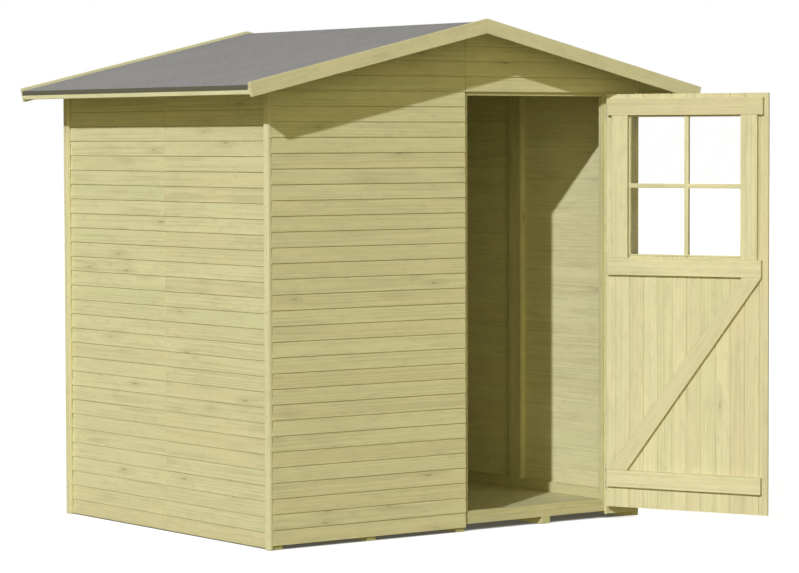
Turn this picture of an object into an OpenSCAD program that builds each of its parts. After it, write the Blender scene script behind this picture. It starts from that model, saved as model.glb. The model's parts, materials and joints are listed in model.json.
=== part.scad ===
// Wooden garden shed: overlap-clad panels on a batten frame, a low apex roof under
// mineral felt, a board floor on bearers and one ledged, braced and glazed door.
// Millimetres. +Z is up, the door is in the front gable, which faces -Y, and the
// origin is on the ground at the centre of the walls' plan.

/* [Overall] */
// Width over the corner trims
shed_w = 2000; // [1600:10:2600]
// Depth over the front and rear cladding
shed_d = 1630; // [1200:10:2600]
// Slope of the roof in degrees
roof_pitch = 12.93; // [8:0.5:20]
// Reach of the roof in front of the front gable
front_overhang = 180; // [60:5:300]
// Reach of the roof beyond each corner trim
eave_overhang = 208; // [80:1:300]

/* [Base] */
// Height of the bearers under the floor
bearer_h = 30; // [20:1:100]
// Width of one bearer
bearer_w = 45; // [30:1:100]
// Number of bearers
bearer_count = 5; // [3:1:8]
// Thickness of the floor
floor_t = 27; // [12:1:35]

/* [Walls] */
// Thickness of the cladding
cladding_t = 12; // [8:0.5:20]
// Height of the lowest cladding edge of the gables above the ground
cladding_low = 18; // [5:1:25]
// Height of the lowest cladding edge of the side walls above the ground
side_cladding_low = 4; // [2:1:25]
// Depth of the frame battens, through the wall
batten_d = 28; // [20:1:60]
// Width of the frame battens, along the wall
batten_w = 45; // [30:1:60]
// Width of a corner trim along the side wall
trim_w = 35; // [20:1:60]
// Thickness of a corner trim
trim_t = 15; // [8:1:25]

/* [Doorway] */
// Width of the cladding between the doorway and the right corner
hinge_strip_w = 175.5; // [120:0.5:300]
// Height of the cladding over the doorway at the right corner
head_strip_h = 53.5; // [40:0.5:200]
// Running gap at the door's edges
door_gap = 6; // [5:0.5:10]
// Gap between the closed door and the battens it closes against
door_clear = 5; // [5:0.5:10]
// Reach of the batten past the cladding on the latch side
latch_stop = 17.5; // [12:0.5:20]
// Reach of the batten past the cladding on the hinge side
hinge_stop = 10; // [7:0.5:12]
// Lap of the head batten behind the top of the door
head_lap = 10; // [5:1:15]
// Height of the door sill
sill_h = 28; // [15:1:45]

/* [Door] */
// Width of the door
door_w = 775; // [600:5:950]
// Height of the door
door_h = 1825; // [1500:5:2100]
// Thickness of the door boards
board_t = 12; // [8:0.5:20]
// Thickness of the ledges, stiles and brace
ledge_t = 20; // [12:1:25]
// Height of a ledge
ledge_w = 75; // [50:1:120]
// Board left bare above the top ledge
top_ledge_drop = 19; // [10:1:40]
// Board left bare below the bottom ledge
bottom_ledge_rise = 90; // [40:5:200]
// Board left bare beside a ledge at the hinge edge
ledge_hinge_inset = 14; // [13:1:30]
// Board left bare beside the top ledge at the latch edge
top_ledge_latch_inset = 20; // [20:1:40]
// Board left bare beside the other ledges at the latch edge
ledge_latch_inset = 26; // [20:1:40]
// Height of the window
window_h = 617; // [300:5:800]
// Board left between the window and the hinge edge
window_hinge_margin = 114; // [100:1:200]
// Board left between the window and the latch edge
window_latch_margin = 123; // [100:1:200]
// Board left between the window and the middle ledge
window_sill_h = 10; // [0:1:60]
// Width of the stiles beside the window
stile_w = 77; // [50:1:79]
// Length along the ledges of the brace's square-cut foot
brace_foot = 90; // [60:1:120]
// Thickness of the window pane
pane_t = 3; // [2:0.5:6]
// Angle that the door stands open at
door_open_deg = 113.5; // [0:0.5:140]

/* [Roof] */
// Thickness of the roof boards
deck_t = 12; // [8:1:20]
// Thickness of the felt
felt_t = 2; // [1:0.5:4]
// Length of the felt folded down over the eave
felt_fold = 20; // [10:1:28]
// Width of a barge board, square to the slope
barge_w = 61; // [40:1:120]
// Thickness of a barge board
barge_t = 15; // [10:1:25]
// Height that the barge boards stand above the felt
barge_rise = 11; // [0:1:25]
// Width of an eave board
eave_board_w = 28; // [15:1:45]
// Height of an eave board at the roof's edge
eave_board_h = 24; // [15:1:60]
// Width of the ridge beam and the purlins
beam_w = 28; // [20:1:60]
// Depth of the ridge beam
ridge_beam_h = 70; // [40:1:120]

/* [Hinges] */
// Thickness of the hinge plates
plate_t = 3; // [2:0.5:5]
// Radius of the hinge pins
pin_r = 2.5; // [2:0.5:3]
// Outer radius of the hinge knuckles
knuckle_r = 4.5; // [4:0.5:5]
// Height of the leaf that is screwed to the wall
leaf_h = 110; // [70:5:160]
// Width of the leaf that is screwed to the wall
leaf_w = 40; // [25:1:60]
// Length of the strap that is screwed to the door
strap_l = 300; // [150:5:450]
// Width of the strap at the knuckle
strap_w = 38; // [25:1:60]
// Width of the strap at its round end
strap_end_w = 22; // [15:1:30]

/* [Hidden] */

// Gap left where separate timbers butt, and between a pin and its knuckle
fit_gap = 0.3;
pin_gap = 0.25;

// Plan of the walls: outer faces of the cladding, the frame and the room
half_w = shed_w / 2;
clad_x = half_w - trim_t;
frame_x = clad_x - cladding_t;
room_x = frame_x - batten_d;
clad_y = shed_d / 2;
frame_y = clad_y - cladding_t;
room_y = frame_y - batten_d;

// Doorway: cladding edges, the battens beside it and the door in it
doorway_hinge_x = clad_x - hinge_strip_w;
door_hinge_x = doorway_hinge_x - door_gap;
door_latch_x = door_hinge_x - door_w;
doorway_latch_x = door_latch_x - door_gap;
latch_post_x = doorway_latch_x + latch_stop;
hinge_post_x = doorway_hinge_x - hinge_stop;
door_back_y = -frame_y - door_clear;
door_front_y = door_back_y - board_t;

// Heights
floor_top = bearer_h + floor_t;
door_top = floor_top + door_h;
head_z = door_top + door_gap;
top_ledge_z = door_top - top_ledge_drop - ledge_w;
window_z = top_ledge_z - window_h;
middle_ledge_z = window_z - window_sill_h - ledge_w;
bottom_ledge_z = floor_top + bottom_ledge_rise;

// Roof lines: the underside of the deck passes head_strip_h over the doorway's head
// at the cladding's outer face
slope = tan(roof_pitch);
deck_v = deck_t / cos(roof_pitch);
felt_v = felt_t / cos(roof_pitch);
deck_under_z = head_z + head_strip_h + slope * clad_x;
barge_top_z = deck_under_z + deck_v + felt_v + barge_rise;
roof_x = half_w + eave_overhang;
roof_front_y = -clad_y - front_overhang + barge_t;
roof_rear_y = clad_y;
purlin_x = frame_x / 2;

// Hinge axis, in front of the door's outer face and over the middle of its gap
pin_x = door_hinge_x + door_gap / 2;
pin_y = door_front_y - knuckle_r - 0.5;
upper_hinge_z = top_ledge_z + ledge_w / 2;
lower_hinge_z = bottom_ledge_z + ledge_w / 2;

wall_colour = [0.76, 0.73, 0.54];
trim_colour = [0.86, 0.84, 0.66];
frame_colour = [0.72, 0.67, 0.44];
felt_colour = [0.53, 0.53, 0.55];
steel_colour = [0.62, 0.63, 0.64];

$fn = 48;

// Height of the deck's underside at a distance from the ridge
function under(x) = deck_under_z - abs(x) * slope;

// Points along the seat under the deck from x1 back to x0, with the ridge if it is between
function seat_line(x0, x1) = concat(
    [[x1, under(x1) - fit_gap]],
    x0 < 0 && x1 > 0 ? [[0, under(0) - fit_gap]] : [],
    [[x0, under(x0) - fit_gap]]);

// A profile in X and Z, drawn out along Y
module along_y(y0, y1) {
    translate([0, y1, 0]) rotate([90, 0, 0]) linear_extrude(y1 - y0) children();
}

// A timber or a panel that stands on z0 and is cut to the roof's slope at its top
module up_to_roof(x0, x1, z0, y0, y1) {
    along_y(y0, y1) polygon(concat([[x0, z0], [x1, z0]], seat_line(x0, x1)));
}

// A timber of one side of the roof, that follows the slope under the deck
module under_slope(x0, x1, depth, y0, y1) {
    along_y(y0, y1) polygon([
        [x0, under(x0) - depth], [x1, under(x1) - depth],
        [x1, under(x1) - fit_gap], [x0, under(x0) - fit_gap]]);
}

module block(x0, x1, y0, y1, z0, z1) {
    translate([x0, y0, z0]) cube([x1 - x0, y1 - y0, z1 - z0]);
}

// Base

module bearers() color(frame_colour) {
    pitch = (2 * frame_x - bearer_w) / (bearer_count - 1);
    for (i = [0 : bearer_count - 1])
        block(-frame_x + i * pitch, -frame_x + i * pitch + bearer_w,
            -frame_y, frame_y, 0, bearer_h);
}

module floor_panel() color(wall_colour)
    block(-frame_x, frame_x, -frame_y, frame_y, bearer_h, floor_top);

module door_sill() color(frame_colour)
    block(latch_post_x + fit_gap, hinge_post_x - fit_gap,
        -frame_y, -room_y, floor_top, floor_top + sill_h);

// Cladding

module front_left_cladding() color(wall_colour)
    up_to_roof(-clad_x, doorway_latch_x, cladding_low, -clad_y, -frame_y);

module front_right_cladding() color(wall_colour)
    block(doorway_hinge_x, clad_x, -clad_y, -frame_y, cladding_low, head_z - fit_gap);

module front_head_cladding() color(wall_colour)
    up_to_roof(doorway_latch_x + fit_gap, clad_x, head_z, -clad_y, -frame_y);

module rear_left_cladding() color(wall_colour)
    up_to_roof(-clad_x, -fit_gap / 2, cladding_low, frame_y, clad_y);

module rear_right_cladding() color(wall_colour)
    mirror([1, 0, 0]) rear_left_cladding();

module left_front_cladding() color(wall_colour)
    up_to_roof(-clad_x, -frame_x, side_cladding_low, -frame_y, -fit_gap / 2);

module left_rear_cladding() color(wall_colour)
    up_to_roof(-clad_x, -frame_x, side_cladding_low, fit_gap / 2, frame_y);

module right_front_cladding() color(wall_colour)
    mirror([1, 0, 0]) left_front_cladding();

module right_rear_cladding() color(wall_colour)
    mirror([1, 0, 0]) left_rear_cladding();

// Frames: upright battens up to the roof, with rails cut between them

module gable_post(x0, y0) {
    up_to_roof(x0, x0 + batten_w, floor_top, y0, y0 + batten_d);
}

// Rails at the floor and under the roof, between two posts of a gable frame
module gable_rails(x0, x1, y0) {
    block(x0 + fit_gap, x1 - fit_gap, y0, y0 + batten_d, floor_top, floor_top + batten_w);
    top_rail(x0, x1, y0);
}

module top_rail(x0, x1, y0) {
    under_slope(x0 + fit_gap, x1 - fit_gap, batten_w, y0, y0 + batten_d);
}

module front_frame() color(frame_colour) {
    latch_post_start = latch_post_x - batten_w;
    hinge_post_end = hinge_post_x + batten_w;
    gable_post(-frame_x, -frame_y);
    gable_post(latch_post_start, -frame_y);
    gable_post(hinge_post_x, -frame_y);
    gable_post(frame_x - batten_w, -frame_y);
    gable_rails(-frame_x + batten_w, latch_post_start, -frame_y);
    gable_rails(hinge_post_end, frame_x - batten_w, -frame_y);
    top_rail(latch_post_x, hinge_post_x, -frame_y);
    block(latch_post_x + fit_gap, hinge_post_x - fit_gap, -frame_y, -room_y,
        door_top - head_lap, door_top - head_lap + batten_w);
}

module rear_frame() color(frame_colour)
    for (side = [0, 1]) mirror([side, 0, 0]) {
        gable_post(-frame_x, room_y);
        gable_post(-batten_w - fit_gap / 2, room_y);
        gable_rails(-frame_x + batten_w, -batten_w - fit_gap / 2, room_y);
    }

// One bar of the left frame, from y0 to y1
module side_post(y0) {
    up_to_roof(-frame_x, -room_x, floor_top, y0, y0 + batten_w);
}

module side_rails(y0, y1) {
    block(-frame_x, -room_x, y0 + fit_gap, y1 - fit_gap, floor_top, floor_top + batten_w);
    under_slope(-frame_x, -room_x, batten_w, y0 + fit_gap, y1 - fit_gap);
}

module left_frame() color(frame_colour) {
    end_y = room_y - fit_gap;
    for (side = [0, 1]) mirror([0, side, 0]) {
        side_post(-end_y);
        side_post(-batten_w - fit_gap / 2);
        side_rails(-end_y + batten_w, -batten_w - fit_gap / 2);
    }
}

module right_frame() mirror([1, 0, 0]) left_frame();

// Corner trims, on the side walls and flush with the gables' faces

module left_trim(y0) color(trim_colour)
    up_to_roof(-half_w, -clad_x, 0, y0, y0 + trim_w);

module front_left_trim() left_trim(-clad_y);
module rear_left_trim() left_trim(clad_y - trim_w);
module front_right_trim() mirror([1, 0, 0]) left_trim(-clad_y);
module rear_right_trim() mirror([1, 0, 0]) left_trim(clad_y - trim_w);

// Roof

module ridge_beam() color(frame_colour)
    up_to_roof(-beam_w / 2, beam_w / 2, under(0) - ridge_beam_h,
        -room_y + fit_gap, room_y - fit_gap);

module purlins() color(frame_colour)
    for (side = [0, 1]) mirror([side, 0, 0])
        under_slope(-purlin_x - beam_w / 2, -purlin_x + beam_w / 2, batten_w,
            -room_y + fit_gap, room_y - fit_gap);

module left_roof_deck() color(frame_colour)
    along_y(roof_front_y, roof_rear_y) polygon([
        [-roof_x, under(roof_x)], [0, under(0)],
        [0, under(0) + deck_v], [-roof_x, under(roof_x) + deck_v]]);

module right_roof_deck() mirror([1, 0, 0]) left_roof_deck();

module left_eave_board() color(trim_colour)
    along_y(roof_front_y, roof_rear_y) polygon([
        [-roof_x, under(roof_x) - eave_board_h],
        [-roof_x + eave_board_w, under(roof_x) - eave_board_h],
        [-roof_x + eave_board_w, under(roof_x - eave_board_w) - fit_gap],
        [-roof_x, under(roof_x) - fit_gap]]);

module right_eave_board() mirror([1, 0, 0]) left_eave_board();

// Felt over one side of the deck, folded down over its edge
module left_felt() color(felt_colour) {
    deck_edge_z = under(roof_x) + deck_v;
    outer_x = roof_x + felt_t;
    outer_z = under(outer_x) + deck_v + felt_v;
    along_y(roof_front_y, roof_rear_y) polygon([
        [0, under(0) + deck_v], [0, under(0) + deck_v + felt_v],
        [-outer_x, outer_z], [-outer_x, outer_z - felt_fold],
        [-roof_x, outer_z - felt_fold], [-roof_x, deck_edge_z]]);
}

module right_felt() mirror([1, 0, 0]) left_felt();

// A barge board, cut plumb at the ridge and square at its lower end
module left_barge(y0) color(trim_colour) {
    end_x = roof_x + 2 * felt_t;
    end_z = barge_top_z - end_x * slope;
    along_y(y0, y0 + barge_t) polygon([
        [0, barge_top_z], [-end_x, end_z],
        [-end_x + barge_w * sin(roof_pitch), end_z - barge_w * cos(roof_pitch)],
        [0, barge_top_z - barge_w / cos(roof_pitch)]]);
}

module front_left_barge() left_barge(roof_front_y - barge_t);
module front_right_barge() mirror([1, 0, 0]) front_left_barge();
module rear_left_barge() left_barge(roof_rear_y);
module rear_right_barge() mirror([1, 0, 0]) rear_left_barge();

// Door, drawn closed and then swung open about the hinge pins

module swung_open() {
    translate([pin_x, pin_y, 0]) rotate([0, 0, door_open_deg])
        translate([-pin_x, -pin_y, 0]) children();
}

// A board of the door: u is the distance from its hinge edge
module door_piece(u0, u1, z0, z1, y0, t) {
    block(door_hinge_x - u1, door_hinge_x - u0, y0, y0 + t, z0, z1);
}

module door_boards() color(wall_colour) swung_open() difference() {
    door_piece(0, door_w, floor_top, door_top, door_front_y, board_t);
    door_piece(window_hinge_margin, door_w - window_latch_margin, window_z, top_ledge_z,
        door_front_y - 1, board_t + 2);
}

module ledge(z0, latch_inset) color(trim_colour) swung_open()
    door_piece(ledge_hinge_inset, door_w - latch_inset, z0, z0 + ledge_w, door_back_y, ledge_t);

module door_top_ledge() ledge(top_ledge_z, top_ledge_latch_inset);
module door_middle_ledge() ledge(middle_ledge_z, ledge_latch_inset);
module door_bottom_ledge() ledge(bottom_ledge_z, ledge_latch_inset);

module door_stiles() color(trim_colour) swung_open()
    for (u = [window_hinge_margin - stile_w, door_w - window_latch_margin])
        door_piece(u, u + stile_w, middle_ledge_z + ledge_w + fit_gap, top_ledge_z - fit_gap,
            door_back_y, ledge_t);

module door_brace() color(trim_colour) swung_open() {
    foot_x = door_hinge_x - ledge_hinge_inset - door_gap;
    head_x = door_latch_x + ledge_latch_inset;
    foot_z = bottom_ledge_z + ledge_w + fit_gap;
    top_z = middle_ledge_z - fit_gap;
    along_y(door_back_y, door_back_y + ledge_t) polygon([
        [foot_x - brace_foot, foot_z], [foot_x, foot_z],
        [head_x + brace_foot, top_z], [head_x, top_z]]);
}

module window_pane() color([0.8, 0.88, 0.9, 0.35]) swung_open()
    door_piece(window_hinge_margin + fit_gap, door_w - window_latch_margin - fit_gap,
        window_z + fit_gap, top_ledge_z - fit_gap, door_front_y + (board_t - pane_t) / 2, pane_t);

// Hinges: a wall leaf that holds the pin, with a knuckle above and below the strap's

module knuckle(z0, z1) {
    translate([pin_x, pin_y, z0]) cylinder(h = z1 - z0, r = knuckle_r);
}

module hinge_leaf(z) color(steel_colour) {
    reach = strap_w / 2 + fit_gap;
    translate([pin_x, pin_y, z - leaf_h / 2]) cylinder(h = leaf_h, r = pin_r);
    for (z0 = [z - leaf_h / 2, z + reach]) {
        z1 = z0 + leaf_h / 2 - reach;
        knuckle(z0, z1);
        block(pin_x, doorway_hinge_x + plate_t, pin_y, -clad_y, z0, z1);
    }
    block(doorway_hinge_x, doorway_hinge_x + leaf_w, -clad_y - plate_t, -clad_y,
        z - leaf_h / 2, z + leaf_h / 2);
}

module hinge_strap(z) color(steel_colour) swung_open() difference() {
    union() {
        knuckle(z - strap_w / 2, z + strap_w / 2);
        along_y(door_front_y - plate_t, door_front_y) polygon([
            [pin_x, z - strap_w / 2], [pin_x, z + strap_w / 2],
            [pin_x - strap_l, z + strap_end_w / 2], [pin_x - strap_l, z - strap_end_w / 2]]);
        along_y(door_front_y - plate_t, door_front_y)
            translate([pin_x - strap_l, z]) circle(d = strap_end_w);
    }
    translate([pin_x, pin_y, z - strap_w]) cylinder(h = 2 * strap_w, r = pin_r + pin_gap);
}

module upper_hinge_leaf() hinge_leaf(upper_hinge_z);
module lower_hinge_leaf() hinge_leaf(lower_hinge_z);
module upper_hinge_strap() hinge_strap(upper_hinge_z);
module lower_hinge_strap() hinge_strap(lower_hinge_z);

bearers();
floor_panel();  // floor
door_sill();
front_left_cladding();
front_right_cladding();
front_head_cladding();
rear_left_cladding();
rear_right_cladding();
left_front_cladding();
left_rear_cladding();
right_front_cladding();
right_rear_cladding();
front_frame();
rear_frame();
left_frame();
right_frame();
front_left_trim();
rear_left_trim();
front_right_trim();
rear_right_trim();
ridge_beam();
purlins();
left_roof_deck();
right_roof_deck();
left_eave_board();
right_eave_board();
front_left_barge();
front_right_barge();
rear_left_barge();
rear_right_barge();
left_felt();
right_felt();
upper_hinge_leaf();
lower_hinge_leaf();
door_boards();
door_top_ledge();
door_middle_ledge();
door_bottom_ledge();
door_stiles();
door_brace();
window_pane();
upper_hinge_strap();
lower_hinge_strap();
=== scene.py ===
"""Looks of the wooden garden shed: boards, felt, door, hinges, materials, light and camera."""

import json
import logging
import math
import random
from collections.abc import Callable, Iterator
from contextlib import contextmanager
from dataclasses import dataclass, field
from enum import Enum

import bpy
import numpy as np
from mathutils import Matrix, Vector


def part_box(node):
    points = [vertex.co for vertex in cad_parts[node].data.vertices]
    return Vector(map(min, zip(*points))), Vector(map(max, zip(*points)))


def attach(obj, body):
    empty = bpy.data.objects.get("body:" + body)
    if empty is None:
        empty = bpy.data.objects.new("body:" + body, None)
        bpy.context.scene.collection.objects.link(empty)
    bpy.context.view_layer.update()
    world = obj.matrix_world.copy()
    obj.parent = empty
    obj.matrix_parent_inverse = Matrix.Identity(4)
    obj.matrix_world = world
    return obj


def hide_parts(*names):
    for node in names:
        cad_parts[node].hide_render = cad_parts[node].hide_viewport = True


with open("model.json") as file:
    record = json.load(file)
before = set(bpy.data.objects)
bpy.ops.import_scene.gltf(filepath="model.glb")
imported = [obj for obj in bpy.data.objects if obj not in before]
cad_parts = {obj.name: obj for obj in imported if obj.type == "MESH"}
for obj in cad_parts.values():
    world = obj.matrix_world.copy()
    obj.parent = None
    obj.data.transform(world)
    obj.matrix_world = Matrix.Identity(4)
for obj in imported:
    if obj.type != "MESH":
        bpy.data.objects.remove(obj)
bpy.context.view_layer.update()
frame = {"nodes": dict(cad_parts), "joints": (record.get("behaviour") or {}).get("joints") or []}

log = logging.getLogger("shed")
MM = 0.001
WELD = 0.05 * MM
Piece = bpy.types.Object
Material = bpy.types.Material
Socket = bpy.types.NodeSocket
Colour = tuple[float, float, float]
Box = tuple[Vector, Vector]
PointTest = Callable[[Vector], bool]
PlaceTest = Callable[[Vector, Vector], bool]


class Body(Enum):
    """The rigid bodies of the shed."""

    SHED = "shed"
    DOOR = "door"


class Facing(Enum):
    """Turn about +Z that points a panel, modelled facing -Y, towards its own side."""

    FRONT = 0.0
    RIGHT = 90.0
    REAR = 180.0
    LEFT = -90.0


# ---------------------------------------------------------------- workbench


def deselect() -> None:
    """Leaves edit mode and deselects every object."""
    if bpy.context.object and bpy.context.object.mode != "OBJECT":
        bpy.ops.object.mode_set(mode="OBJECT")
    bpy.ops.object.select_all(action="DESELECT")


def activate(piece: Piece) -> None:
    """Selects one object alone and makes it active."""
    deselect()
    piece.select_set(True)
    bpy.context.view_layer.objects.active = piece


@contextmanager
def edit_mode(select_all: bool = False) -> Iterator[None]:
    """Opens the active piece in edit mode, selects all of it if asked, and closes it."""
    bpy.ops.object.mode_set(mode="EDIT")
    if select_all:
        bpy.ops.mesh.select_all(action="SELECT")
    yield
    bpy.ops.object.mode_set(mode="OBJECT")


def clear_selection(mesh: bpy.types.Mesh) -> None:
    """Deselects every vertex, edge and face of a mesh that is in object mode."""
    for group in (mesh.vertices, mesh.edges, mesh.polygons):
        for item in group:
            item.select = False


def new_block(name: str, low: Vector, high: Vector) -> Piece:
    """Adds a cube primitive that fills a box.

    Args:
        name: Name of the new object.
        low: Lowest corner in metres.
        high: Highest corner in metres.

    Returns:
        The new object, at the origin with its place in its mesh.
    """
    deselect()
    low, high = Vector(low), Vector(high)
    bpy.ops.mesh.primitive_cube_add(size=1, location=(low + high) / 2, scale=high - low)
    piece = bpy.context.object
    piece.name = name
    bpy.ops.object.transform_apply(location=True, rotation=True, scale=True)
    return piece


def select_edges(piece: Piece, wanted: PlaceTest) -> bool:
    """Selects the edges whose middle and direction pass a test, in edge mode.

    Args:
        piece: The active mesh object, in object mode.
        wanted: Function of an edge's middle point and its unit direction.

    Returns:
        Whether any edge was selected.
    """
    mesh = piece.data
    clear_selection(mesh)
    found = False
    for edge in mesh.edges:
        a, b = (mesh.vertices[i].co for i in edge.vertices)
        if wanted((a + b) / 2, (b - a).normalized()):
            edge.select = True
            mesh.vertices[edge.vertices[0]].select = True
            mesh.vertices[edge.vertices[1]].select = True
            found = True
    return found


def bevel_edges(piece: Piece, wanted: PlaceTest, width: float, segments: int = 2) -> None:
    """Rounds the chosen edges of a piece in edit mode.

    Args:
        piece: The piece to shape.
        wanted: Test of an edge's middle point and direction.
        width: Width of the bevel in metres.
        segments: Number of segments of the bevel.
    """
    activate(piece)
    if not select_edges(piece, wanted):
        return
    with edit_mode():
        bpy.ops.mesh.select_mode(type="EDGE")
        bpy.ops.mesh.bevel(offset=width, segments=segments, affect="EDGES")


def shift_vertices(piece: Piece, wanted: PointTest, offset: Vector) -> None:
    """Moves the chosen vertices of a piece in edit mode.

    Args:
        piece: The piece to shape.
        wanted: Test of a vertex's place.
        offset: Move in metres.
    """
    activate(piece)
    clear_selection(piece.data)
    for vertex in piece.data.vertices:
        vertex.select = wanted(vertex.co)
    with edit_mode():
        bpy.ops.mesh.select_mode(type="VERT")
        bpy.ops.transform.translate(value=offset)


def raise_faces(piece: Piece, wanted: PlaceTest, offset: Vector) -> None:
    """Extrudes the chosen faces of a piece in edit mode.

    Args:
        piece: The piece to shape.
        wanted: Test of a face's middle point and normal.
        offset: Move of the extruded faces in metres.
    """
    activate(piece)
    clear_selection(piece.data)
    for face in piece.data.polygons:
        face.select = wanted(face.center, face.normal)
    with edit_mode():
        bpy.ops.mesh.select_mode(type="FACE")
        bpy.ops.mesh.extrude_region_move(TRANSFORM_OT_translate={"value": offset})


def cut_away(piece: Piece, point: Vector, normal: Vector) -> None:
    """Cuts off what lies on the normal's side of a plane and closes the cut."""
    activate(piece)
    with edit_mode(select_all=True):
        bpy.ops.mesh.bisect(plane_co=point, plane_no=normal, use_fill=True, clear_outer=True)


def copy_of(piece: Piece, place: Matrix) -> Piece:
    """Returns a copy with its own mesh, moved by a matrix that goes into the mesh."""
    twin = piece.copy()
    twin.data = piece.data.copy()
    bpy.context.scene.collection.objects.link(twin)
    twin.data.transform(place)
    return twin


def joined(name: str, parts: list[Piece]) -> Piece:
    """Joins objects into one and names it.

    Args:
        name: Name of the result.
        parts: Objects to join; the first one stays.

    Returns:
        The joined object.
    """
    activate(parts[0])
    for part in parts[1:]:
        part.select_set(True)
    if len(parts) > 1:
        bpy.ops.object.join()
    parts[0].name = name
    return parts[0]


def apply_modifier(piece: Piece, kind: str, **settings) -> None:
    """Adds a modifier with these settings and applies it."""
    activate(piece)
    modifier = piece.modifiers.new(kind.title(), kind)
    for key, value in settings.items():
        setattr(modifier, key, value)
    bpy.ops.object.modifier_apply(modifier=modifier.name)


def eased_copy(node: str, name: str, width: float) -> Piece:
    """Copies a packed timber and eases its sharp edges.

    Args:
        node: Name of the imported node.
        name: Name of the new piece.
        width: Width of the eased edge in metres.

    Returns:
        The new piece, closed and with rounded arrises.
    """
    piece = copy_of(frame["nodes"][node], Matrix.Identity(4))
    piece.name = name
    for key in list(piece.keys()):
        del piece[key]
    piece.parent = None
    piece.data.materials.clear()
    activate(piece)
    with edit_mode(select_all=True):
        bpy.ops.mesh.remove_doubles(threshold=WELD)
        bpy.ops.mesh.dissolve_limited(angle_limit=math.radians(0.5))
    apply_modifier(piece, "BEVEL", width=width, segments=2, limit_method="ANGLE",
                   angle_limit=math.radians(30))
    smooth(piece)
    return piece


def smooth(piece: Piece, angle: float = 25.0) -> None:
    """Shades a piece smooth up to an angle in degrees."""
    activate(piece)
    bpy.ops.object.shade_smooth_by_angle(angle=math.radians(angle))


def islands(mesh: bpy.types.Mesh) -> np.ndarray:
    """Numbers the separate boards of a mesh.

    Args:
        mesh: A mesh of one or more closed shells.

    Returns:
        For each vertex, the number of the shell that it belongs to.
    """
    parent = list(range(len(mesh.vertices)))

    def root(i: int) -> int:
        """Returns the shell's number so far, and shortens the way to it."""
        while parent[i] != i:
            parent[i] = parent[parent[i]]
            i = parent[i]
        return i

    for edge in mesh.edges:
        a, b = (root(i) for i in edge.vertices)
        if a != b:
            parent[a] = b
    return np.array([root(i) for i in range(len(parent))])


def stamp_grain(piece: Piece, seed: int, along: Vector | None = None) -> None:
    """Gives each board its own grain coordinates, in metres, and its own tone.

    Args:
        piece: A piece made of one or more boards.
        seed: Seed of the boards' random tones and cuts.
        along: Direction of the grain, or None for each board's longest direction.
    """
    mesh = piece.data
    place = np.array([v.co for v in mesh.vertices], dtype=float).reshape(-1, 3)
    label = islands(mesh)
    grain = np.zeros_like(place)
    tone = np.zeros(len(place))
    draw = random.Random(seed)
    first = {}
    for i, shell in enumerate(label):
        first.setdefault(shell, i)
    for shell in sorted(first, key=first.get):
        rows = label == shell
        board = place[rows]
        centre = (board.min(0) + board.max(0)) / 2
        spread = np.linalg.svd(board - board.mean(0), full_matrices=False)[2]
        if along is None:
            axes = spread
        else:
            length = np.array(Vector(along).normalized())
            thin = spread[2] - length * (spread[2] @ length)
            thin /= np.linalg.norm(thin)
            axes = np.array([length, np.cross(thin, length), thin])
        shift = [draw.uniform(0, 40), draw.uniform(-0.05, 0.05), draw.uniform(0.01, 0.09)]
        grain[rows] = (board - centre) @ axes.T + shift
        tone[rows] = draw.random()
    for title, kind, values in (("grain", "FLOAT_VECTOR", grain), ("tone", "FLOAT", tone)):
        attribute = mesh.attributes.new(title, kind, "POINT")
        key = "vector" if kind == "FLOAT_VECTOR" else "value"
        attribute.data.foreach_set(key, values.astype(np.float32).ravel())


def finish_piece(piece: Piece, body: Body, slot: str,
                 material: Material, *nodes: str) -> None:
    """Dresses a piece and ties it to its body and the nodes it stands for."""
    piece.data.materials.clear()
    piece.data.materials.append(material)
    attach(piece, body.value)
    if nodes:
        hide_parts(*nodes)
    log.info("%s: %d faces", piece.name, len(piece.data.polygons))


# ---------------------------------------------------------------- finishes


class NodeSheet:
    """A small helper that lays out a material's nodes and links."""

    def __init__(self, name: str) -> None:
        """Starts an empty material with a Principled surface."""
        self.material = bpy.data.materials.new(name)
        self.material.use_nodes = True
        self.tree = self.material.node_tree
        self.shader = self.tree.nodes["Principled BSDF"]

    def add(self, kind: str, inputs: dict | None = None, **settings) -> bpy.types.Node:
        """Adds a node, sets its properties, and sets or links its inputs.

        Args:
            kind: Blender's node type.
            inputs: Values or output sockets by input name or number.
            **settings: Properties of the node.

        Returns:
            The new node.
        """
        node = self.tree.nodes.new(kind)
        for key, value in settings.items():
            setattr(node, key, value)
        for key, value in (inputs or {}).items():
            self.feed(node.inputs[key], value)
        return node

    def feed(self, socket: Socket, value: Socket | float | tuple) -> None:
        """Links an output to a socket, or sets the socket's own value."""
        if isinstance(value, Socket):
            self.tree.links.new(value, socket)
        else:
            socket.default_value = value

    def maths(self, operation: str, a: Socket | float, b: Socket | float) -> Socket:
        """Returns the result of one arithmetic step."""
        return self.add("ShaderNodeMath", {0: a, 1: b}, operation=operation).outputs[0]

    def mix(self, factor: Socket | float, a: Socket | Colour, b: Socket | Colour) -> Socket:
        """Returns a mix of two colours."""
        node = self.add("ShaderNodeMix", data_type="RGBA")
        self.feed(node.inputs[0], factor)
        self.feed(node.inputs[6], rgba(a))
        self.feed(node.inputs[7], rgba(b))
        return node.outputs[2]

    def span(self, value: Socket, low: float, high: float, to_low: float = 0.0,
             to_high: float = 1.0) -> Socket:
        """Returns a value rescaled from one range to another and held inside it."""
        return self.add("ShaderNodeMapRange", {
            "Value": value, "From Min": low, "From Max": high,
            "To Min": to_low, "To Max": to_high}).outputs[0]

    def layer(self, base: Socket, value: Socket, low: float, high: float, share: float,
              colour: Socket | Colour) -> Socket:
        """Returns a colour laid over the base, up to a share, as a value nears a level."""
        mask = self.maths("MULTIPLY", self.span(value, low, high), share)
        return self.mix(mask, base, colour)


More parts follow.
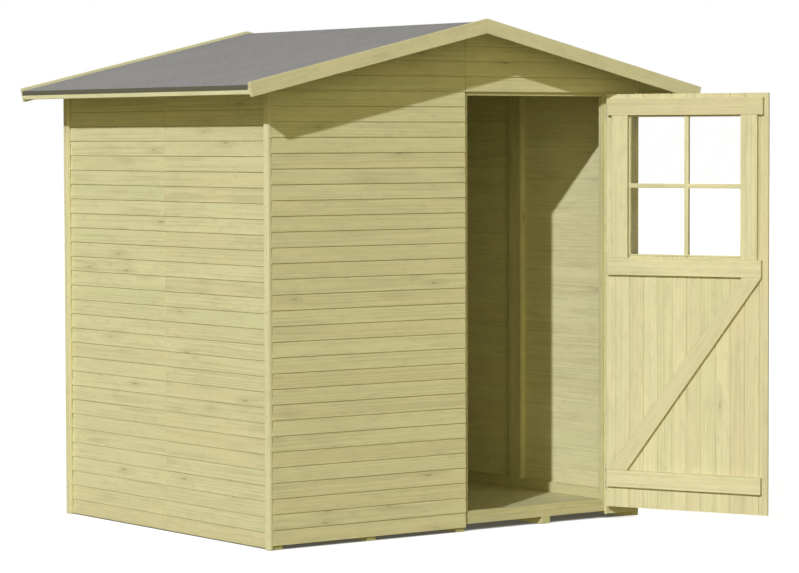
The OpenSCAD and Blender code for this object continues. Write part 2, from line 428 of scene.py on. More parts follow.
def rgba(colour: Socket | Colour) -> Socket | tuple[float, ...]:
    """Returns a colour with an alpha of one, or the socket as it is."""
    return colour if isinstance(colour, Socket) else (*colour, 1.0)


@dataclass(frozen=True)
class Pine:
    """Pressure-treated pine, with rings, fibres, stains and a few knots.

    Each board reads its own grain coordinates and tone, so no pattern runs across a joint.
    """

    name: str
    pale: Colour
    tan: Colour
    green: Colour
    ring_strength: float = 0.22
    stain_strength: float = 0.35
    knots: float = 0.5
    roughness: float = 0.66
    ring_pitch: float = 0.006

    def make(self) -> Material:
        """Returns the finish as a procedural material."""
        sheet = NodeSheet(self.name)
        grain = sheet.add("ShaderNodeAttribute", attribute_name="grain").outputs["Vector"]
        tone = sheet.add("ShaderNodeAttribute", attribute_name="tone").outputs["Fac"]

        def stretched(x: float, y: float, z: float) -> Socket:
            """Returns the grain coordinates, scaled along, across and through the board."""
            return sheet.add("ShaderNodeMapping", {"Vector": grain, "Scale": (x, y, z)}).outputs[0]

        def noise(vector: Socket, detail: float) -> Socket:
            """Returns cloudy noise over a vector."""
            return sheet.add("ShaderNodeTexNoise", {
                "Vector": vector, "Scale": 1.0, "Detail": detail, "Roughness": 0.55}).outputs[0]

        rings = sheet.add("ShaderNodeTexWave", {
            "Vector": stretched(0.075, 1, 1), "Scale": 0.314 / self.ring_pitch,
            "Distortion": 7.0, "Detail": 2.5, "Detail Scale": 0.3, "Detail Roughness": 0.55,
        }, wave_type="RINGS", rings_direction="X", wave_profile="SAW").outputs["Fac"]
        fibre = noise(stretched(9, 420, 420), 2.0)
        streak = noise(stretched(2.2, 70, 70), 4.0)
        patch = noise(stretched(2.6, 12, 12), 3.0)
        mottle = noise(stretched(14, 40, 40), 3.0)
        cell = sheet.add("ShaderNodeTexVoronoi", {
            "Vector": stretched(3.4, 15, 5), "Scale": 1.0, "Randomness": 1.0})
        knot_here = sheet.maths("GREATER_THAN",
                                sheet.add("ShaderNodeSeparateColor",
                                          {0: cell.outputs["Color"]}).outputs[0],
                                1.0 - self.knots)
        knot = sheet.maths("MULTIPLY", knot_here,
                           sheet.span(cell.outputs["Distance"], 0.04, 0.09, 1.0, 0.0))
        halo = sheet.maths("MULTIPLY", knot_here,
                           sheet.span(cell.outputs["Distance"], 0.06, 0.4, 1.0, 0.0))

        base = sheet.mix(sheet.span(tone, 0.3, 1.0), self.pale, self.tan)
        base = sheet.layer(base, patch, 0.42, 0.68, self.stain_strength, self.green)
        base = sheet.layer(base, tone, 0.35, 0.0, 0.5, self.green)
        late_wood = tuple(0.56 * c for c in self.tan)
        ring_mask = sheet.maths("MULTIPLY", sheet.span(rings, 0.35, 1.0), self.ring_strength)
        ring_mask = sheet.maths("MULTIPLY", ring_mask, sheet.span(patch, 0.3, 0.62, 0.2, 1.5))
        base = sheet.mix(ring_mask, base, late_wood)
        base = sheet.layer(base, streak, 0.48, 0.72, 0.23, tuple(0.68 * c for c in self.green))
        base = sheet.layer(base, mottle, 0.52, 0.7, 0.28, tuple(0.72 * c for c in self.tan))
        base = sheet.layer(base, fibre, 0.4, 0.7, 0.16, late_wood)
        base = sheet.mix(sheet.maths("MULTIPLY", halo, 0.3), base, late_wood)
        base = sheet.mix(sheet.maths("MULTIPLY", knot, 0.5), base, (0.3, 0.22, 0.08))
        sheet.feed(sheet.shader.inputs["Base Color"], base)
        sheet.feed(sheet.shader.inputs["Roughness"],
                   sheet.span(streak, 0.3, 0.7, self.roughness - 0.06, self.roughness + 0.1))
        relief = sheet.maths("ADD", sheet.maths("MULTIPLY", rings, -0.5),
                             sheet.maths("MULTIPLY", fibre, 0.8))
        bump = sheet.add("ShaderNodeBump", {
            "Height": relief, "Strength": 0.35, "Distance": 0.0008})
        sheet.feed(sheet.shader.inputs["Normal"], bump.outputs[0])
        sheet.shader.inputs["Specular IOR Level"].default_value = 0.3
        return sheet.material


@dataclass(frozen=True)
class MineralFelt:
    """Grey roofing felt with a pressed-in mineral grit, and painted shade on its turned-down edge.
    """

    name: str = "mineral_felt"
    grit: Colour = (0.38, 0.385, 0.445)
    dark: Colour = (0.26, 0.262, 0.30)
    flake: Colour = (0.52, 0.51, 0.54)
    # Dark colour laid on the felt's turned-down edge as painted shade.
    painted_shade_colour: Colour = (0.13, 0.128, 0.10)

    def make(self) -> Material:
        """Returns the finish as a procedural material."""
        sheet = NodeSheet(self.name)
        where = sheet.add("ShaderNodeTexCoord").outputs["Object"]
        grains = sheet.add("ShaderNodeTexVoronoi", {"Vector": where, "Scale": 520.0})
        speck = sheet.add("ShaderNodeSeparateColor", {0: grains.outputs["Color"]})
        cloud = sheet.add("ShaderNodeTexNoise", {
            "Vector": where, "Scale": 3.2, "Detail": 5.0, "Roughness": 0.6}).outputs[0]
        clump = sheet.add("ShaderNodeTexNoise", {
            "Vector": where, "Scale": 55.0, "Detail": 4.0, "Roughness": 0.7}).outputs[0]
        base = sheet.mix(sheet.span(speck.outputs[0], 0.0, 1.0), self.dark, self.grit)
        base = sheet.mix(sheet.span(clump, 0.38, 0.62), base, self.grit)
        base = sheet.layer(base, cloud, 0.35, 0.7, 0.25, self.dark)
        base = sheet.layer(base, clump, 0.66, 0.74, 0.7, self.flake)
        # Painted shade: the turned-down edge is darkened to the painted shade colour.
        painted_edge_shade = sheet.add("ShaderNodeAttribute", attribute_name="painted_edge_shade").outputs["Fac"]
        base = sheet.mix(painted_edge_shade, base, self.painted_shade_colour)
        sheet.feed(sheet.shader.inputs["Base Color"], base)
        sheet.shader.inputs["Roughness"].default_value = 0.92
        sheet.shader.inputs["Specular IOR Level"].default_value = 0.25
        relief = sheet.maths("ADD", grains.outputs["Distance"], clump)
        bump = sheet.add("ShaderNodeBump", {
            "Height": relief, "Strength": 0.5, "Distance": 0.0012})
        sheet.feed(sheet.shader.inputs["Normal"], bump.outputs[0])
        return sheet.material


@dataclass(frozen=True)
class ZincSteel:
    """Zinc-plated steel, dulled outdoors, with a faint spangle."""

    name: str
    colour: Colour = (0.66, 0.67, 0.68)
    roughness: float = 0.46
    metallic: float = 0.55

    def make(self) -> Material:
        """Returns the finish as a procedural material."""
        sheet = NodeSheet(self.name)
        where = sheet.add("ShaderNodeTexCoord").outputs["Object"]
        spangle = sheet.add("ShaderNodeTexVoronoi", {"Vector": where, "Scale": 160.0})
        shade = sheet.add("ShaderNodeSeparateColor", {0: spangle.outputs["Color"]}).outputs[0]
        wear = sheet.add("ShaderNodeTexNoise", {
            "Vector": where, "Scale": 70.0, "Detail": 4.0}).outputs[0]
        sheet.feed(sheet.shader.inputs["Base Color"],
                   sheet.mix(shade, tuple(0.82 * c for c in self.colour), self.colour))
        sheet.feed(sheet.shader.inputs["Roughness"],
                   sheet.span(wear, 0.35, 0.65, self.roughness - 0.08, self.roughness + 0.12))
        sheet.shader.inputs["Metallic"].default_value = self.metallic
        return sheet.material


@dataclass(frozen=True)
class ClearSheet:
    """Clear glazing, seen through, with a trace of dust."""

    name: str = "clear_pane"

    def make(self) -> Material:
        """Returns the finish as a procedural material."""
        sheet = NodeSheet(self.name)
        where = sheet.add("ShaderNodeTexCoord").outputs["Object"]
        dust = sheet.add("ShaderNodeTexNoise", {
            "Vector": where, "Scale": 9.0, "Detail": 6.0}).outputs[0]
        sheet.shader.inputs["Base Color"].default_value = (0.93, 0.96, 0.96, 1.0)
        sheet.shader.inputs["Roughness"].default_value = 0.06
        sheet.feed(sheet.shader.inputs["Alpha"], sheet.span(dust, 0.4, 0.75, 0.015, 0.04))
        return sheet.material


@dataclass(frozen=True)
class Finishes:
    """Every finish of the shed, made once."""

    cladding: Material
    trim: Material
    door: Material
    frame_timber: Material
    floor: Material
    bearer: Material
    felt: Material
    steel: Material
    nail: Material
    pane: Material

    @classmethod
    def make(cls) -> "Finishes":
        """Returns the full set of finishes."""
        return cls(
            cladding=Pine("cladding_pine", (0.765, 0.74, 0.465), (0.735, 0.68, 0.42),
                          (0.68, 0.69, 0.405), ring_strength=0.24, knots=0.35,
                          ring_pitch=0.008).make(),
            trim=Pine("trim_pine", (0.81, 0.785, 0.52), (0.77, 0.72, 0.47),
                      (0.73, 0.735, 0.46), ring_strength=0.16, stain_strength=0.25,
                      knots=0.18).make(),
            door=Pine("door_pine", (0.75, 0.71, 0.47), (0.685, 0.61, 0.40),
                      (0.63, 0.645, 0.39), ring_strength=0.2, stain_strength=0.4,
                      knots=0.2, ring_pitch=0.009).make(),
            frame_timber=Pine("frame_pine", (0.66, 0.63, 0.36), (0.62, 0.56, 0.32),
                              (0.52, 0.54, 0.28), knots=0.3, roughness=0.74).make(),
            floor=Pine("floor_pine", (0.70, 0.68, 0.42), (0.65, 0.60, 0.37),
                       (0.56, 0.58, 0.33), knots=0.3).make(),
            bearer=Pine("bearer_pine", (0.64, 0.62, 0.34), (0.59, 0.54, 0.30),
                        (0.46, 0.5, 0.24), roughness=0.78).make(),
            felt=MineralFelt().make(),
            steel=ZincSteel("zinc_steel").make(),
            nail=ZincSteel("nail_steel", (0.36, 0.34, 0.3), 0.5).make(),
            pane=ClearSheet().make(),
        )


# ---------------------------------------------------------------- roof line


@dataclass(frozen=True)
class RoofLine:
    """The underside of the roof boards, which every wall is cut to."""

    ridge_z: float
    slope: float

    @classmethod
    def from_frame(cls) -> "RoofLine":
        """Reads the slope from the tops of a gable panel and a side panel."""
        ridge_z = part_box("rear_left_cladding")[1].z
        side_low, side_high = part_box("left_front_cladding")
        return cls(ridge_z, (ridge_z - side_high.z) / -side_high.x)

    @property
    def angle(self) -> float:
        """Slope of the roof in radians."""
        return math.atan(self.slope)

    def normal(self, side: int) -> Vector:
        """Returns the upward normal of one slope: -1 is left and 1 is right."""
        return Vector((side * math.sin(self.angle), 0, math.cos(self.angle)))

    def trim(self, piece: Piece) -> None:
        """Cuts a piece to both slopes."""
        for side in (-1, 1):
            cut_away(piece, Vector((0, 0, self.ridge_z)), self.normal(side))


# ---------------------------------------------------------------- walls


@dataclass
class OverlapCladding:
    """The horizontal overlap boards of one wall panel."""

    node: str
    facing: Facing
    cover: float
    first_z: float
    seed: int
    top_t: float = 8.5 * MM
    arris: float = 1.0 * MM
    groove: float = 1.1 * MM
    tongue_t: float = 4 * MM
    end_gap: float = 1.1 * MM

    def board(self, length: float, depth: float) -> Piece:
        """Models one board that faces -Y: thick at its lower edge, thin at its top.

        Args:
            length: Length of the board.
            depth: Thickness at the lower edge.

        Returns:
            The board, with its lower back edge on the X axis.
        """
        half = length / 2 - self.end_gap
        high = self.cover - self.groove
        piece = new_block("board", Vector((-half, -depth, 0)), Vector((half, 0, high)))
        with edit_mode(select_all=True):
            bpy.ops.mesh.bisect(plane_co=(0, -self.tongue_t, 0), plane_no=(0, 1, 0))
        shift_vertices(piece, lambda p: p.z > high / 2 and p.y < -depth / 2,
                       Vector((0, depth - self.top_t, 0)))
        bevel_edges(piece, lambda p, d: abs(d.x) > 0.9 and p.y < -depth / 2, self.arris, 1)
        raise_faces(piece, lambda p, n: n.z > 0.9 and p.y > -self.tongue_t,
                    Vector((0, 0, self.groove)))
        return piece

    def build(self, roof: RoofLine) -> Piece:
        """Stacks the boards, turns the panel to its side and cuts it to the roof.

        Args:
            roof: The slopes that end the boards.

        Returns:
            The panel's boards as one piece.
        """
        low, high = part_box(self.node)
        size = high - low
        across = self.facing in (Facing.FRONT, Facing.REAR)
        length, depth = (size.x, size.y) if across else (size.y, size.x)
        centre = (low + high) / 2
        back = centre + Matrix.Rotation(math.radians(self.facing.value), 3, "Z") @ Vector(
            (0, depth / 2, 0))
        place = Matrix.Translation((back.x, back.y, 0)) @ Matrix.Rotation(
            math.radians(self.facing.value), 4, "Z")
        first = math.floor((low.z - self.first_z) / self.cover + 0.02)
        last = math.ceil((high.z - self.first_z) / self.cover - 0.02)
        master = self.board(length, depth)
        boards = [
            copy_of(master, place @ Matrix.Translation((0, 0, self.first_z + row * self.cover)))
            for row in range(first, last)
        ]
        bpy.data.objects.remove(master)
        piece = joined(self.node + "_boards", boards)
        roof.trim(piece)
        stamp_grain(piece, self.seed, Vector((1, 0, 0)) if across else Vector((0, 1, 0)))
        return piece

    def dress(self, piece: Piece, finishes: Finishes) -> None:
        """Gives the boards their pine and ties them to the shed."""
        smooth(piece)
        finish_piece(piece, Body.SHED, "cladding_pine", finishes.cladding, self.node)


@dataclass
class Walls:
    """The nine clad panels."""

    rows_to_head: int = 29
    panels: dict[str, Facing] = field(default_factory=lambda: {
        "front_left_cladding": Facing.FRONT, "front_right_cladding": Facing.FRONT,
        "front_head_cladding": Facing.FRONT, "rear_left_cladding": Facing.REAR,
        "rear_right_cladding": Facing.REAR, "left_front_cladding": Facing.LEFT,
        "left_rear_cladding": Facing.LEFT, "right_front_cladding": Facing.RIGHT,
        "right_rear_cladding": Facing.RIGHT,
    })

    def build(self, finishes: Finishes) -> None:
        """Builds and dresses every clad panel, with rows that line up along each wall."""
        roof = RoofLine.from_frame()
        gable_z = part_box("front_left_cladding")[0].z
        side_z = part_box("left_front_cladding")[0].z
        cover = (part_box("front_head_cladding")[0].z - gable_z) / self.rows_to_head
        for number, (node, facing) in enumerate(self.panels.items()):
            first_z = side_z if facing in (Facing.LEFT, Facing.RIGHT) else gable_z
            panel = OverlapCladding(node, facing, cover, first_z, 100 + number)
            panel.dress(panel.build(roof), finishes)


@dataclass
class Timbers:
    """Packed timbers that keep their shape and get eased edges and their own grain."""

    arris: float = 1.5 * MM
    sawn: tuple[str, ...] = ("front_frame", "rear_frame", "left_frame", "right_frame",
                             "door_sill", "ridge_beam", "purlins")
    planed: tuple[str, ...] = ("front_left_trim", "rear_left_trim", "front_right_trim",
                               "rear_right_trim", "left_eave_board", "right_eave_board",
                               "front_left_barge", "front_right_barge", "rear_left_barge",
                               "rear_right_barge")

    def build(self, finishes: Finishes) -> None:
        """Builds and dresses the frame, sill, roof beams, bearers, trims and barges."""
        jobs = [(node, "frame_pine", finishes.frame_timber) for node in self.sawn]
        jobs += [(node, "trim_pine", finishes.trim) for node in self.planed]
        jobs.append(("bearers", "bearer_pine", finishes.bearer))
        for number, (node, slot, material) in enumerate(jobs):
            piece = eased_copy(node, node + "_timber", self.arris)
            stamp_grain(piece, 300 + number)
            finish_piece(piece, Body.SHED, slot, material, node)


# ---------------------------------------------------------------- boards and felt


def board_row(name: str, box: Box, count: int, across: int, arris: float,
              gap: float = 0.5 * MM) -> Piece:
    """Fills a box with equal boards side by side, with eased long edges.

    Args:
        name: Name of the piece.
        box: Lowest and highest corner of the row.
        count: Number of boards.
        across: Axis, 0 or 1, along which the boards lie side by side.
        arris: Width of the eased edges.
        gap: Gap between boards.

    Returns:
        The boards as one piece.
    """
    low, high = (Vector(corner) for corner in box)
    pitch = (high[across] - low[across]) / count
    first_high = high.copy()
    first_high[across] = low[across] + pitch - gap
    board = new_block(name, low, first_high)
    bevel_edges(board, lambda p, d: abs(d[1 - across]) > 0.9, arris, 1)
    step = Vector((0, 0, 0))
    step[across] = pitch
    boards = [board] + [copy_of(board, Matrix.Translation(step * i)) for i in range(1, count)]
    return joined(name, boards)


@dataclass
class Floor:
    """The tongued floor boards, which run from side to side."""

    boards: int = 17
    arris: float = 1.2 * MM

    def build(self, finishes: Finishes) -> None:
        """Builds and dresses the floor."""
        piece = board_row("floor_boards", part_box("floor"), self.boards, 1, self.arris)
        stamp_grain(piece, 41, Vector((1, 0, 0)))
        finish_piece(piece, Body.SHED, "floor_pine", finishes.floor, "floor")


@dataclass
class RoofBoards:
    """The tongued roof boards of both slopes, which run from front to back."""

    boards: int = 13
    arris: float = 1.5 * MM

    def build(self, finishes: Finishes) -> None:
        """Builds each slope flat, then turns it down from the ridge."""
        roof = RoofLine.from_frame()
        for side, node in ((-1, "left_roof_deck"), (1, "right_roof_deck")):
            low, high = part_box(node)
            reach = (high.x - low.x) / math.cos(roof.angle)
            thick = (high.z - low.z - (high.x - low.x) * roof.slope) * math.cos(roof.angle)
            start = thick * math.tan(roof.angle)
            flat = (Vector((start, low.y, -thick)), Vector((reach, high.y, 0)))
            piece = board_row(node + "_boards", flat, self.boards, 0, self.arris)
            if side < 0:
                turn = Matrix.Rotation(math.pi, 4, "Z")
                middle = Matrix.Translation((0, low.y + high.y, 0))
                piece.data.transform(middle @ turn)
            piece.data.transform(Matrix.Translation((0, 0, high.z))
                                 @ Matrix.Rotation(side * roof.angle, 4, "Y"))
            stamp_grain(piece, 51 + side, Vector((0, 1, 0)))
            finish_piece(piece, Body.SHED, "frame_pine", finishes.frame_timber, node)


@dataclass
class FeltSheets:
    """The felt of both slopes, folded over the eaves."""

    arris: float = 0.7 * MM

    def build(self, finishes: Finishes) -> None:
        """Builds and dresses both sheets."""
        for node in ("left_felt", "right_felt"):
            piece = eased_copy(node, node + "_sheet", self.arris)
            self.mark_painted_edge_shade(piece)
            finish_piece(piece, Body.SHED, "roof_felt", finishes.felt, node)

    def mark_painted_edge_shade(self, piece: Piece) -> None:
        """Marks the turned-down edge, where the felt gets its painted shade."""
        # Vertices out at the eave's edge get the painted shade.
        edge = max(abs(v.co.x) for v in piece.data.vertices) - 0.25 * self.arris
        painted_edge_shade = piece.data.attributes.new("painted_edge_shade", "FLOAT", "POINT")
        painted_edge_shade.data.foreach_set("value", [float(abs(v.co.x) > edge)
                                        for v in piece.data.vertices])


# ---------------------------------------------------------------- door


@dataclass
class Door:
    """The ledged and braced door, modelled shut and swung open about its pins.

    Distances along the door are measured from its hinge edge.
    """

    first_board: float = 46 * MM
    board_cover: float = 68.7 * MM
    v_joint: float = 2.2 * MM
    joint: float = 0.5 * MM
    arris: float = 1.5 * MM
    bar_w: float = 20 * MM
    bar_offset: float = 8 * MM
    bar_inside: float = 6 * MM
    bar_arris: float = 1.2 * MM
    bead: float = 7 * MM
    cut_margin: float = 20 * MM
    pin: Vector = field(init=False)
    open_angle: float = field(init=False)

    def __post_init__(self) -> None:
        """Reads the hinge's axis and the angle that the door stands open at."""
        joint = frame["joints"][0]
        self.pin = Vector(joint["pos_m"])
        self.open_angle = -math.radians(joint["range_deg"][0])

    @property
    def swing(self) -> Matrix:
        """The move from shut to the open rest pose."""
        return (Matrix.Translation(self.pin) @ Matrix.Rotation(self.open_angle, 4, "Z")
                @ Matrix.Translation(-self.pin))

    def shut_box(self, node: str) -> Box:
        """Returns the box that a packed door node fills when the door is shut."""
        back = self.swing.inverted()
        points = [back @ v.co for v in frame["nodes"][node].data.vertices]
        low = Vector(min(p[i] for p in points) for i in range(3))
        high = Vector(max(p[i] for p in points) for i in range(3))
        return low, high

    def boards(self) -> Piece:
        """Models the tongued boards with V joints and cuts the window through them.

        Returns:
            The boards as one piece, shut.
        """
        low, high = self.shut_box("door_boards")
        window_low, window_high = self.shut_box("window_pane")
        edges = [high.x, high.x - self.first_board]
        while edges[-1] - self.board_cover > low.x:
            edges.append(edges[-1] - self.board_cover)
        edges.append(low.x)
        boards = []
        for right, left in zip(edges, edges[1:]):
            board = new_block("door_board", Vector((left + self.joint / 2, low.y, low.z)),
                              Vector((right - self.joint / 2, high.y, high.z)))
            bevel_edges(board, lambda p, d: abs(d.z) > 0.9, self.v_joint, 1)
            boards.append(board)
        piece = joined("door_board_set", boards)
        margin = Vector((0, self.cut_margin, 0))
        cutter = new_block("cutter", window_low - margin, window_high + margin)
        apply_modifier(piece, "BOOLEAN", operation="DIFFERENCE", solver="EXACT", object=cutter)
        bpy.data.objects.remove(cutter)
        return piece

    def window_bars(self) -> Piece:
        """Models the cross of glazing bars and the beads round the pane.

        Returns:
            The bars and beads as one piece, shut.
        """
        low, high = self.shut_box("window_pane")
        boards_low, boards_high = self.shut_box("door_boards")
        middle = (low + high) / 2
        half = self.bar_w / 2
        upright = middle.x - self.bar_offset
        front, back = boards_low.y + 1 * MM, boards_high.y + self.bar_inside
        spans = [
            (Vector((upright - half, front, low.z)), Vector((upright + half, back, high.z))),
            (Vector((low.x, front + 0.5 * MM, middle.z - half)),
             Vector((high.x, back - 0.5 * MM, middle.z + half))),
        ]
        for y0, y1 in ((high.y, boards_high.y + self.bead / 2), (boards_low.y, low.y)):
            spans += [
                (Vector((low.x, y0, low.z)), Vector((low.x + self.bead, y1, high.z))),
                (Vector((high.x - self.bead, y0, low.z)), Vector((high.x, y1, high.z))),
                (Vector((low.x, y0, low.z)), Vector((high.x, y1, low.z + self.bead))),
                (Vector((low.x, y0, high.z - self.bead)), Vector((high.x, y1, high.z))),
            ]
        bars = []
        for start, end in spans:
            bar = new_block("bar", start, end)
            bevel_edges(bar, lambda p, d: True, self.bar_arris, 2)
            bars.append(bar)
        return joined("window_bar_set", bars)

    def build(self, finishes: Finishes) -> None:
        """Builds the boards, bars, ledges, stiles and brace and dresses them."""
        for piece, seed, nodes in ((self.boards(), 61, ("door_boards",)),
                                   (self.window_bars(), 62, ())):
            piece.data.transform(self.swing)
            stamp_grain(piece, seed, Vector((0, 0, 1)) if nodes else None)
            smooth(piece)
            finish_piece(piece, Body.DOOR, "door_pine", finishes.door, *nodes)
        for number, node in enumerate(("door_top_ledge", "door_middle_ledge",
                                       "door_bottom_ledge", "door_stiles", "door_brace")):
            piece = eased_copy(node, node + "_timber", self.arris)
            stamp_grain(piece, 71 + number)
            finish_piece(piece, Body.DOOR, "door_pine", finishes.door, node)
        pane = frame["nodes"]["window_pane"]
        pane.data.materials.clear()
        pane.data.materials.append(finishes.pane)


# ---------------------------------------------------------------- hardware


@dataclass
class Hardware:
    """The hinge plates with their screws, and the nails in barges, trims and ledges."""

    door: Door
    plate_t: float = 3 * MM
    plate_arris: float = 0.6 * MM
    leaf_screw_inset: float = 14 * MM
    leaf_screws: tuple[float, ...] = (0.14, 0.5, 0.86)
    strap_screws: tuple[float, ...] = (0.05, 0.3, 0.55, 0.8)
    screw_r: float = 4.2 * MM
    screw_h: float = 1.2 * MM
    nail_r: float = 2.6 * MM
    nail_h: float = 0.6 * MM
    head_sink: float = 0.2 * MM
    barge_w: float = 61 * MM
    barge_nails: tuple[float, ...] = (0.075, 0.588, 1.17)
    trim_nails: tuple[float, ...] = (0.12, 0.55, 0.98, 1.41, 1.84)

    def head(self, radius: float, height: float, slotted: bool) -> Piece:
        """Models one domed head whose shank points to +Y, with a slot for a screw.

        Args:
            radius: Radius of the head.
            height: Height of the dome.
            slotted: Whether the head has a driver slot.

        Returns:
            The head, with its seat at the origin.
        """
        deselect()
        bpy.ops.mesh.primitive_cylinder_add(vertices=16, radius=radius, depth=height)
        piece = bpy.context.object
        bpy.ops.object.transform_apply(location=True, rotation=True, scale=True)
        bevel_edges(piece, lambda p, d: p.z > 0 and abs(d.z) < 0.1, height * 0.6, 2)
        if slotted:
            slot = new_block("slot", Vector((-radius * 0.75, -radius * 0.13, 0)),
                             Vector((radius * 0.75, radius * 0.13, height)))
            apply_modifier(piece, "BOOLEAN", operation="DIFFERENCE", solver="EXACT", object=slot)
            bpy.data.objects.remove(slot)
        piece.data.transform(Matrix.Rotation(math.pi / 2, 4, "X")
                             @ Matrix.Translation((0, 0, height / 2 - self.head_sink)))
        return piece

    def heads(self, name: str, master: Piece, places: list[Vector],
              turn: Matrix, spin: bool = False) -> Piece:
        """Copies a head to each place.

        Args:
            name: Name of the piece.
            master: The head to copy.
            places: Where each head's seat lies.
            turn: Turn of a head that faces -Y.
            spin: Whether each head is turned by its own angle.

        Returns:
            The heads as one piece.
        """
        draw = random.Random(len(places))
        copies = [
            copy_of(master, Matrix.Translation(place) @ turn
                    @ Matrix.Rotation(draw.uniform(0, math.pi) if spin else 0, 4, "Y"))
            for place in places
        ]
        piece = joined(name, copies)
        smooth(piece, 40)
        return piece

    def build_hinges(self, finishes: Finishes) -> None:
        """Builds both hinges' plates and the screws that hold them."""
        screw = self.head(self.screw_r, self.screw_h, True)
        wall_places, door_places = [], []
        for level in ("upper", "lower"):
            for part, body in (("leaf", Body.SHED), ("strap", Body.DOOR)):
                node = f"{level}_hinge_{part}"
                piece = eased_copy(node, node + "_plate", self.plate_arris)
                finish_piece(piece, body, "zinc_steel", finishes.steel, node)
            leaf_low, leaf_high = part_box(f"{level}_hinge_leaf")
            plate_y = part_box("front_right_cladding")[0].y - self.plate_t
            for share in self.leaf_screws:
                z = leaf_low.z + share * (leaf_high.z - leaf_low.z)
                wall_places.append(Vector((leaf_high.x - self.leaf_screw_inset, plate_y, z)))
            strap_low, strap_high = self.door.shut_box(f"{level}_hinge_strap")
            strap_y = self.door.shut_box("door_boards")[0].y - self.plate_t
            middle = (strap_low.z + strap_high.z) / 2
            for share in self.strap_screws:
                x = strap_low.x + share * (strap_high.x - strap_low.x)
                door_places.append(Vector((x, strap_y, middle)))
        still = Matrix.Identity(4)
        leaf_screws = self.heads("hinge_leaf_screws", screw, wall_places, still, True)
        finish_piece(leaf_screws, Body.SHED, "zinc_steel", finishes.steel)
        strap_screws = self.heads("hinge_strap_screws", screw, door_places, still, True)
        strap_screws.data.transform(self.door.swing)
        finish_piece(strap_screws, Body.DOOR, "zinc_steel", finishes.steel)
        bpy.data.objects.remove(screw)

    def build_nails(self, finishes: Finishes) -> None:
        """Drives the nails of the front barges, the corner trims and the door boards."""
        nail = self.head(self.nail_r, self.nail_h, False)
        still = Matrix.Identity(4)
        roof = RoofLine.from_frame()
        low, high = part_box("front_right_barge")
        drop = self.barge_w / 2 / math.cos(roof.angle)
        barge = [Vector((side * x, low.y, high.z - drop - x * roof.slope))
                 for side in (-1, 1) for x in self.barge_nails]
        finish_piece(self.heads("barge_nails", nail, barge, still), Body.SHED, "zinc_steel",
                     finishes.nail)
        for side, name in ((-1, "left"), (1, "right")):
            places = []
            for end in ("front", "rear"):
                low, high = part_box(f"{end}_{name}_trim")
                face_x = low.x if side < 0 else high.x
                places += [Vector((face_x, (low.y + high.y) / 2, z)) for z in self.trim_nails]
            turn = Matrix.Rotation(side * math.pi / 2, 4, "Z")
            finish_piece(self.heads(name + "_trim_nails", nail, places, turn), Body.SHED,
                         "zinc_steel", finishes.nail)
        face_y = self.door.shut_box("door_boards")[0].y
        places = []
        for node in ("door_top_ledge", "door_middle_ledge", "door_bottom_ledge"):
            low, high = self.door.shut_box(node)
            x = high.x - self.door.first_board / 2
            while x > low.x + 10 * MM:
                places += [Vector((x, face_y, low.z + share * (high.z - low.z)))
                           for share in (0.3, 0.7)]
                x -= self.door.board_cover
        door_nails = self.heads("door_nails", nail, places, still)
        door_nails.data.transform(self.door.swing)
        finish_piece(door_nails, Body.DOOR, "zinc_steel", finishes.nail)
        bpy.data.objects.remove(nail)

    def build(self, finishes: Finishes) -> None:
        """Builds all the hardware."""
        self.build_hinges(finishes)
        self.build_nails(finishes)


# ---------------------------------------------------------------- studio


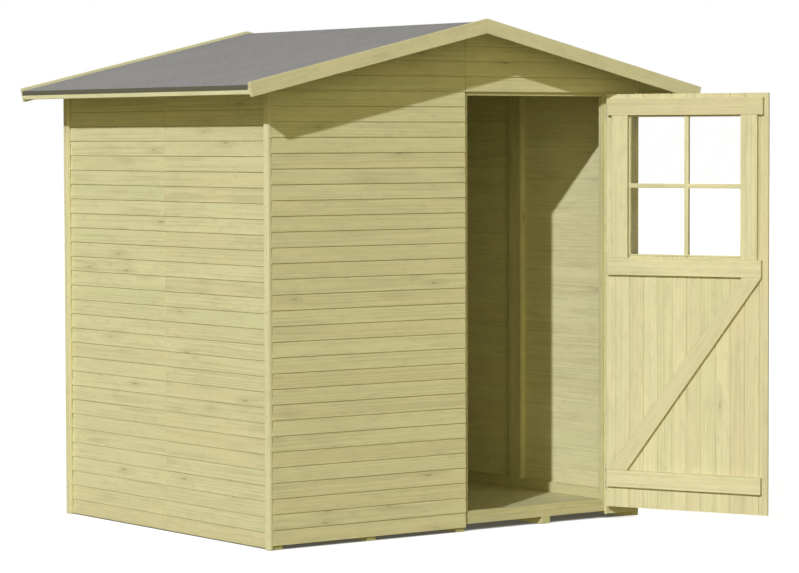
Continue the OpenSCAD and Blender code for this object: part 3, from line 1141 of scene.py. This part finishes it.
@dataclass
class Studio:
    """Camera, sun, sky and the pale floor."""

    eye: Vector = field(default_factory=lambda: Vector((-8.129, -11.258, 1.686)))
    heading_deg: float = 36.741
    pitch_deg: float = -2.724
    roll_deg: float = -0.144
    lens_mm: float = 139.5
    sensor_mm: float = 36.0
    sun_way: Vector = field(default_factory=lambda: Vector((1.0, 0.60, -0.57)))
    sun_strength: float = 2.45
    sun_angle_deg: float = 1.2
    fill_way: Vector = field(default_factory=lambda: Vector((0.60, 0.80, -0.08)))
    fill_strength: float = 0.88
    fill_angle_deg: float = 50.0
    back_way: Vector = field(default_factory=lambda: Vector((-0.55, -0.83, -0.04)))
    back_strength: float = 1.7
    back_colour: Colour = (1.0, 0.96, 0.8)
    warm: Colour = (1.0, 0.90, 0.44)
    sky: float = 0.17
    floor_size: float = 160.0
    # Occlusion levels between which the floor's painted contact shadow fades out.
    painted_shadow_full_below: float = 0.12
    painted_shadow_gone_above: float = 0.45

    def camera(self) -> None:
        """Adds the camera and makes it the scene's."""
        data = bpy.data.cameras.new("camera")
        data.lens = self.lens_mm
        data.sensor_width = self.sensor_mm
        data.clip_end = 400
        camera = bpy.data.objects.new("camera", data)
        bpy.context.scene.collection.objects.link(camera)
        camera.matrix_world = (
            Matrix.Translation(self.eye)
            @ Matrix.Rotation(-math.radians(self.heading_deg), 4, "Z")
            @ Matrix.Rotation(math.radians(90 + self.pitch_deg), 4, "X")
            @ Matrix.Rotation(math.radians(self.roll_deg), 4, "Z"))
        bpy.context.scene.camera = camera

    def lamp(self, name: str, way: Vector, strength: float, angle_deg: float,
             colour: Colour) -> None:
        """Adds a distant lamp.

        Args:
            name: Name of the lamp.
            way: Direction that its light travels in.
            strength: Strength of the light.
            angle_deg: Angle over which it spreads, in degrees.
            colour: Colour of the light.
        """
        data = bpy.data.lights.new(name, "SUN")
        data.energy = strength
        data.angle = math.radians(angle_deg)
        data.color = colour
        light = bpy.data.objects.new(name, data)
        light.rotation_euler = way.to_track_quat("-Z", "Y").to_euler()
        bpy.context.scene.collection.objects.link(light)

    def sky_dome(self) -> None:
        """Adds a dim even sky that shows white behind the shed."""
        world = bpy.data.worlds.new("studio")
        bpy.context.scene.world = world
        world.use_nodes = True
        tree = world.node_tree
        light = tree.nodes["Background"]
        light.inputs["Color"].default_value = (*self.warm, 1.0)
        light.inputs["Strength"].default_value = self.sky
        white = tree.nodes.new("ShaderNodeBackground")
        white.inputs["Color"].default_value = (1, 1, 1, 1)
        seen = tree.nodes.new("ShaderNodeLightPath")
        mixer = tree.nodes.new("ShaderNodeMixShader")
        tree.links.new(seen.outputs["Is Camera Ray"], mixer.inputs[0])
        tree.links.new(light.outputs[0], mixer.inputs[1])
        tree.links.new(white.outputs[0], mixer.inputs[2])
        tree.links.new(mixer.outputs[0], tree.nodes["World Output"].inputs["Surface"])

    def floor(self) -> None:
        """Adds the pale floor, with a painted contact shadow: its glow dims only where the shed
        closes it in.
        """
        deselect()
        bpy.ops.mesh.primitive_plane_add(size=self.floor_size, location=(0, 0, -0.5 * MM))
        plane = bpy.context.object
        plane.name = "studio_floor"
        sheet = NodeSheet("studio_floor")
        # Painted contact shadow: ambient occlusion dims the floor's glow under and beside the
        # shed.
        closed_in = sheet.add("ShaderNodeAmbientOcclusion", {"Distance": 0.3},
                              samples=12).outputs["AO"]
        sheet.shader.inputs["Base Color"].default_value = (0.25, 0.25, 0.25, 1)
        sheet.shader.inputs["Roughness"].default_value = 0.9
        free_of_painted_shadow = sheet.span(closed_in, self.painted_shadow_full_below, self.painted_shadow_gone_above)
        strength = sheet.span(free_of_painted_shadow, 0.0, 1.0, 0.05, 0.92)
        sheet.shader.inputs["Emission Color"].default_value = (1, 1, 1, 1)
        sheet.feed(sheet.shader.inputs["Emission Strength"], strength)
        plane.data.materials.append(sheet.material)
        plane.visible_diffuse = False
        plane.visible_glossy = False

    def build(self) -> None:
        """Sets up the whole studio."""
        bpy.context.scene.view_settings.view_transform = "Standard"
        self.camera()
        self.lamp("sun", self.sun_way, self.sun_strength, self.sun_angle_deg, (1, 1, 1))
        self.lamp("fill", self.fill_way, self.fill_strength, self.fill_angle_deg, self.warm)
        self.lamp("back", self.back_way, self.back_strength, self.fill_angle_deg,
                  self.back_colour)
        self.sky_dome()
        self.floor()


def main() -> None:
    """Builds the shed's looks, piece by piece, and the studio round it."""
    logging.basicConfig(level=logging.INFO, format="%(name)s %(message)s")
    finishes = Finishes.make()
    Studio().build()
    Walls().build(finishes)
    Timbers().build(finishes)
    Floor().build(finishes)
    RoofBoards().build(finishes)
    FeltSheets().build(finishes)
    door = Door()
    door.build(finishes)
    Hardware(door).build(finishes)


if __name__ == "__main__":
    main()
